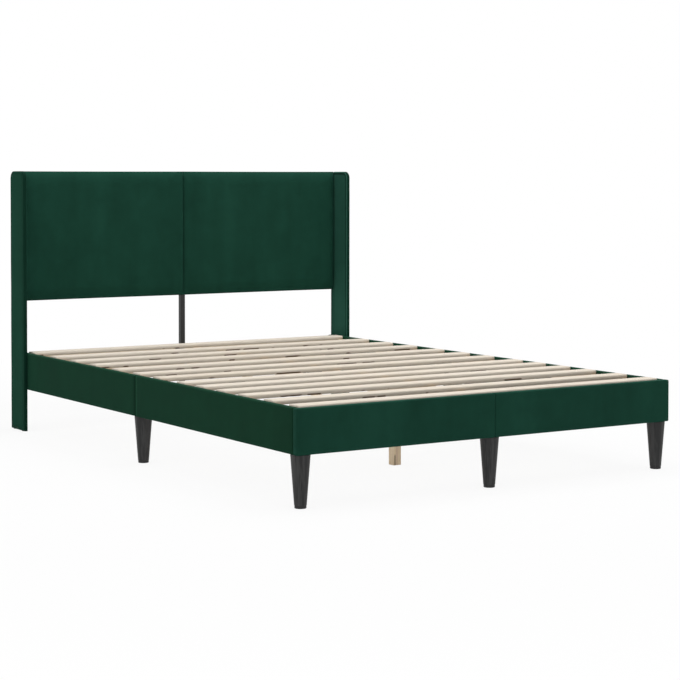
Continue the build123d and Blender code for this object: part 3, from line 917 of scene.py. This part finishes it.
# Headboard cushions: foam under taut velvet, blown out a little by a cloth run
padSet = {
    "thick": 0.01195, "sunk": 0.0002,  # before the board's front, and behind it
    "crown": 0.0020, "reachSide": 0.022, "dropSide": 0.0072,
    "reachTop": 0.042, "dropTop": 0.0088, "cornerDrop": 0.0006, "pullIn": 0.0005,
    "cell": 0.008, "rimCells": (0.0015, 0.004, 0.008, 0.013, 0.02, 0.03, 0.043),
    "wrinkle": 0.0007, "wrinkleSize": 0.11, "wrinkleFlat": 0.4, "wrinkleSeed": (4.2, 1.7, 0.3),
    "held": 0.0025,  # the velvet nearer to the board than this stays where it is
    "quality": 5, "pressure": 4.0, "bending": 4, "steps": 20,
    "creep": 0.2,  # the velvet is stapled round the board, so it hardly creeps sideways
    "cap": 0.0022,
}


def roundedDrop(distance, reach, drop):
    share = 1 - min(distance / reach, 1)
    return drop * (1 - sqrt(max(0.0, 1 - share * share)))


def padShape(work, low, high, boardFront, seed):
    middle = (low + high) / 2
    half = (high - low) / 2
    front = boardFront - padSet["thick"]
    for vert in work.verts:
        point = vert.co
        u = (point.x - middle.x) / half.x
        v = (point.z - middle.z) / half.z
        if point.y < middle.y:
            side = min(point.x - low.x, high.x - point.x)
            top = min(point.z - low.z, high.z - point.z)
            drop = roundedDrop(side, padSet["reachSide"], padSet["dropSide"])
            drop += roundedDrop(top, padSet["reachTop"], padSet["dropTop"])
            dip = min(drop, padSet["dropTop"] + padSet["cornerDrop"]) + padSet["crown"] * v * v
            spot = Vector((point.x, 0, point.z * padSet["wrinkleFlat"]))
            ripple = noise.noise(spot / padSet["wrinkleSize"] + seed)
            point.y = front + dip + padSet["wrinkle"] * (0.5 + 0.5 * ripple)
        point.z -= padSet["pullIn"] * v * (1 - u * u)


def puff(piece, boardFront):
    mesh = piece.data
    held = piece.vertex_groups.new(name="held")
    back = [v.index for v in mesh.vertices if v.co.y > boardFront - padSet["held"]]
    held.add(back, 1.0, "REPLACE")
    cloth = piece.modifiers.new("cloth", "CLOTH")
    cloth.settings.quality = padSet["quality"]
    cloth.settings.use_pressure = True
    cloth.settings.uniform_pressure_force = padSet["pressure"]
    cloth.settings.effector_weights.gravity = 0
    cloth.settings.vertex_group_mass = "held"
    cloth.settings.bending_stiffness = padSet["bending"]
    cloth.point_cache.frame_start = 1
    cloth.point_cache.frame_end = padSet["steps"]
    for step in range(1, padSet["steps"] + 1):
        scene.frame_set(step)
    settled = piece.evaluated_get(bpy.context.evaluated_depsgraph_get())
    goals = [v.co.copy() for v in settled.data.vertices]
    piece.modifiers.remove(cloth)
    piece.vertex_groups.remove(held)
    for vert, goal in zip(mesh.vertices, goals):
        move = goal - vert.co
        move.x *= padSet["creep"]
        move.z *= padSet["creep"]
        if move.length > padSet["cap"]:
            move *= padSet["cap"] / move.length
        vert.co += move
    scene.frame_set(1)


def makePad(name, side):
    low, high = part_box("headboard_pad_" + name)
    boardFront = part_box("headboard_board_" + name)[0].y
    high.y = boardFront + padSet["sunk"]
    if side > 0:  # the halves press together at the middle
        low.x = 0.0
    else:
        high.x = 0.0
    work = bmesh.new()
    boxBetween(work, low, high)
    near = padSet["rimCells"]
    for axis in (0, 2):
        cuts = [low[axis] + step for step in near] + [high[axis] - step for step in near]
        cuts += evenly(low[axis] + near[-1], high[axis] - near[-1], padSet["cell"])
        cutAcross(work, axis, cuts)
    seed = Vector(padSet["wrinkleSeed"])
    seed.x *= side
    padShape(work, low, high, boardFront, seed)
    # the cushions' velvet copy carries marks of painted shade and painted highlights
    piece = makePiece("headboard_cushion_" + name, work, "velvet", material=velvets["cushion"])
    puff(piece, boardFront)
    shape = piece.modifiers.new("shape", "SUBSURF")
    shape.levels = shape.render_levels = 1
    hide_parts("headboard_pad_" + name)


for name, side in sides.items():
    makePad(name, side)
print("cushions made")


# Back of the headboard: velvet wrapped round each board to a stapled hem, over black lining
hemSet = {
    "forward": 0.0009,  # how far it reaches round the board, past the board's front
    "wrap": 0.0010, "halfSeam": 0.0001,
    "width": 0.0285, "edge": 0.003, "cloth": 0.0010,
    "flap": 0.0007, "flapInset": 0.0032, "flapEdge": 0.0002,
}
liningSet = {
    "over": 0.0004,  # above the hem, and the staples' middles as far above the lining
    "lap": 0.010, "rim": (0.0055, 0.010, 0.014), "cell": 0.03, "cellsFrom": 0.02,
    "sag": 0.0006, "sagReach": 0.012, "sagSize": 0.06, "sagSeed": 2, "stapleInset": 0.005,
}


def makeHem(name, side):
    low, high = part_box("headboard_board_" + name)
    wrap = hemSet["wrap"]
    ends = (side * hemSet["halfSeam"], side * (max(low.x * side, high.x * side) + wrap))
    wrapLow = Vector((min(ends), low.y - hemSet["forward"], low.z - wrap))
    wrapHigh = Vector((max(ends), high.y + wrap, high.z + wrap))
    work = bmesh.new()
    boxBetween(work, wrapLow, wrapHigh)
    padSide = [f for f in work.faces if f.normal.y < -0.9]
    backSide = [f for f in work.faces if f.normal.y > 0.9]
    rim = list({e for f in backSide for e in f.edges})
    bmesh.ops.delete(work, geom=padSide, context="FACES_ONLY")
    roundOff(work, rim, hemSet["edge"], 3)
    window = facesToward(work, 1, least=0.05)
    inset = hemSet["width"] - hemSet["edge"]
    bmesh.ops.inset_region(work, faces=window, thickness=inset, depth=0, use_boundary=True)
    bmesh.ops.delete(work, geom=window, context="FACES_ONLY")
    bmesh.ops.recalc_face_normals(work, faces=work.faces[:])
    bmesh.ops.solidify(work, geom=work.faces[:], thickness=hemSet["cloth"])
    flaps = bmesh.new()
    edge, width = hemSet["flapInset"], hemSet["width"]
    for x, toX in ((wrapLow.x, 1), (wrapHigh.x, -1)):
        for z, toZ in ((wrapLow.z, 1), (wrapHigh.z, -1)):
            reaches = ((edge, edge), (width, edge), (width, width))
            face = flaps.faces.new([
                flaps.verts.new((x + toX * alongX, wrapHigh.y, z + toZ * alongZ))
                for alongX, alongZ in reaches
            ])
            raised = bmesh.ops.extrude_face_region(flaps, geom=[face])["geom"]
            moved = [v for v in raised if isinstance(v, bmesh.types.BMVert)]
            bmesh.ops.translate(flaps, vec=(0, hemSet["flap"], 0), verts=moved)
    bmesh.ops.recalc_face_normals(flaps, faces=flaps.faces[:])
    roundOff(flaps, flaps.edges[:], hemSet["flapEdge"], 1)
    spare = bpy.data.meshes.new("flaps")
    flaps.to_mesh(spare)
    flaps.free()
    work.from_mesh(spare)
    bpy.data.meshes.remove(spare)
    piece = makePiece("headboard_hem_" + name, work, "velvet", smooth=False)
    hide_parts("headboard_pad_" + name)
    return wrapLow, wrapHigh


def makeLiningPiece(name, wrapLow, wrapHigh, staples):
    inset = hemSet["width"] - liningSet["lap"]
    plane = wrapHigh.y + liningSet["over"]
    low = Vector((wrapLow.x + inset, plane, wrapLow.z + inset))
    high = Vector((wrapHigh.x - inset, plane, wrapHigh.z - inset))
    work = bmesh.new()
    sheet = bmesh.ops.create_grid(work, x_segments=1, y_segments=1, size=0.5)["verts"]
    bmesh.ops.rotate(work, cent=(0, 0, 0), matrix=Matrix.Rotation(pi / 2, 3, "X"), verts=sheet)
    bmesh.ops.scale(work, vec=(high.x - low.x, 1, high.z - low.z), verts=sheet)
    bmesh.ops.translate(work, vec=(low + high) / 2, verts=sheet)
    rim, start = liningSet["rim"], liningSet["cellsFrom"]
    for axis in (0, 2):
        cuts = [low[axis] + step for step in rim] + [high[axis] - step for step in rim]
        cuts += evenly(low[axis] + start, high[axis] - start, liningSet["cell"])
        cutAcross(work, axis, cuts)
    for vert in work.verts:
        point = vert.co
        inside = min(point.x - low.x, high.x - point.x, point.z - low.z, high.z - point.z)
        share = min(1, max(0, inside - liningSet["lap"]) / liningSet["sagReach"])
        wave = 0.5 + 0.5 * rippleOf(point, liningSet["sagSize"], liningSet["sagSeed"])
        point.y -= share * liningSet["sag"] * wave
    piece = makePiece("headboard_lining_" + name, work, "lining_cloth")
    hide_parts("headboard_linings")
    inset, over = liningSet["stapleInset"], plane + liningSet["over"]
    for x in evenly(low.x, high.x, stapleSet["gap"]):
        for z in (low.z + inset, high.z - inset):
            addStaple(staples, (x, over, z), "X", "Y")
    for z in evenly(low.z, high.z, stapleSet["gap"]):
        for x in (low.x + inset, high.x - inset):
            addStaple(staples, (x, over, z), "Z", "Y")


liningStaples = bmesh.new()
for name, side in sides.items():
    wrapLow, wrapHigh = makeHem(name, side)
    makeLiningPiece(name, wrapLow, wrapHigh, liningStaples)
makePiece("lining_staples", liningStaples, "zinc_steel", smooth=False)
print("headboard back made")


# Floor, world and lamps
stageSet = {
    "floorSize": 40, "floorDrop": 0.0003, "floor": (0.86, 0.86, 0.86, 1), "floorRough": 0.9,
    "floorGlow": 0.89,  # how white the floor looks under the bed, whatever its shade
    "glowAll": (1.6, 3.4),  # metres from the middle, between which it turns all white
    "sky": (0.98, 0.99, 1.0, 1), "skyPower": 0.30,
    "lamps": {
        "top": {"place": (0.3, -0.6, 4.2), "aim": (0, 0, 0.2), "size": 4.5, "power": 150},
        "side": {"place": (-3.6, 0.3, 4.0), "aim": (0, 0, 0.4), "size": 3.0, "power": 42},
        "front": {"place": (-4.5, -7.0, 3.5), "aim": (0, 0, 0.4), "size": 4.0, "power": 83},
        "right": {"place": (3.8, 0.5, 3.4), "aim": (0, 0, 0.3), "size": 3.0, "power": 34},
        "back": {"place": (1.5, 5.5, 3.0), "aim": (0, 0, 0.4), "size": 4.0, "power": 45},
    },
}


def cameraRays(tree):
    rays = tree.nodes.new("ShaderNodeLightPath")
    seen = Value(rays.outputs["Is Camera Ray"])
    for kind in ("Is Glossy Ray", "Is Transmission Ray"):
        seen = seen.larger(Value(rays.outputs[kind]))
    return seen


def makeWorld():
    world = bpy.data.worlds.new("studio")
    scene.world = world
    world.use_nodes = True
    tree = world.node_tree
    light = tree.nodes["Background"]
    light.inputs["Color"].default_value = stageSet["sky"]
    light.inputs["Strength"].default_value = stageSet["skyPower"]
    seen = cameraRays(tree)
    white = seen.node("Background", {}, {"Color": (1, 1, 1, 1), "Strength": 1.0})
    mixed = seen.node("MixShader", {}, {0: seen, 1: Value(light.outputs[0]), 2: white})
    mixed.into(tree.nodes["World Output"].inputs["Surface"])


def makeFloor():
    work = bmesh.new()
    bmesh.ops.create_grid(work, x_segments=1, y_segments=1, size=stageSet["floorSize"] / 2)
    bmesh.ops.translate(work, vec=(0, 0, -stageSet["floorDrop"]), verts=work.verts[:])
    mesh = bpy.data.meshes.new("floor")
    work.to_mesh(mesh)
    work.free()
    floor = bpy.data.objects.new("floor", mesh)
    scene.collection.objects.link(floor)
    material = bpy.data.materials.new("paleFloor")
    material.use_nodes = True
    tree = material.node_tree
    matt = tree.nodes["Principled BSDF"]
    matt.inputs["Base Color"].default_value = stageSet["floor"]
    matt.inputs["Roughness"].default_value = stageSet["floorRough"]
    matt.inputs["Specular IOR Level"].default_value = 0.0
    seen = cameraRays(tree)
    glow = seen.node("Emission", {}, {"Color": (1, 1, 1, 1), "Strength": 1.0})
    place = Value(tree.nodes.new("ShaderNodeTexCoord").outputs["Object"])
    far = place.node("VectorMath", {"operation": "LENGTH"}, {0: place}, 1)
    least = stageSet["floorGlow"]
    share = seen * far.step(*stageSet["glowAll"]).ranged(least, 1 - least)
    mixed = share.node("MixShader", {}, {0: share, 1: Value(matt.outputs[0]), 2: glow})
    mixed.into(tree.nodes["Material Output"].inputs["Surface"])
    mesh.materials.append(material)


def makeLamps():
    for name, lamp in stageSet["lamps"].items():
        light = bpy.data.lights.new(name + "Lamp", "AREA")
        light.size = lamp["size"]
        light.energy = lamp["power"]
        holder = bpy.data.objects.new(name + "Lamp", light)
        holder.location = lamp["place"]
        aim = Vector(lamp["aim"]) - Vector(lamp["place"])
        holder.rotation_euler = aim.to_track_quat("-Z", "Y").to_euler()
        scene.collection.objects.link(holder)


makeWorld()
makeFloor()
makeLamps()
scene.view_settings.view_transform = "Standard"
print("stage set")
